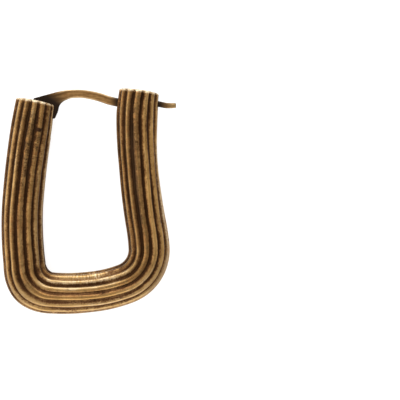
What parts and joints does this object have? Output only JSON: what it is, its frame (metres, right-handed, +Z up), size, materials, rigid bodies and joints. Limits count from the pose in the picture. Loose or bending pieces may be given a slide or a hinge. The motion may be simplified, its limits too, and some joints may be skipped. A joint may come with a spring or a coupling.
{
  "type": "rectangular fluted hoop earring",
  "caption": "Tall rectangular hoop earring of fluted antique brass tube, with a hinged ear wire that drops into a slot in the far arm.",
  "frame": {"origin": "middle of the bounding box, on the surface that the earring lies on", "axes": "+Z up from that surface and along the hinge's axis, +Y from the bottom run to the ear wire, +X from the hinge arm to the catch arm"},
  "size_m": [0.0269, 0.0347, 0.0062],
  "materials": {
    "fluted_brass": "antique, dark in the grooves",
    "dark_brass": "antique, darkened at the hinge",
    "pin_brass": "filed flush"
  },
  "bodies": {
    "hoop_body": {"hoop": "fluted_brass", "hinge_pin": "pin_brass"},
    "wire_body": {"ear_wire": "dark_brass"}
  },
  "joints": [
    {"name": "ear_wire_hinge", "type": "hinge", "parent": "hoop_body", "child": "wire_body", "pos_m": [-0.0071, 0.01355, 0.0031], "axis": [0, 0, 1], "range_deg": [0, 75]}
  ]
}
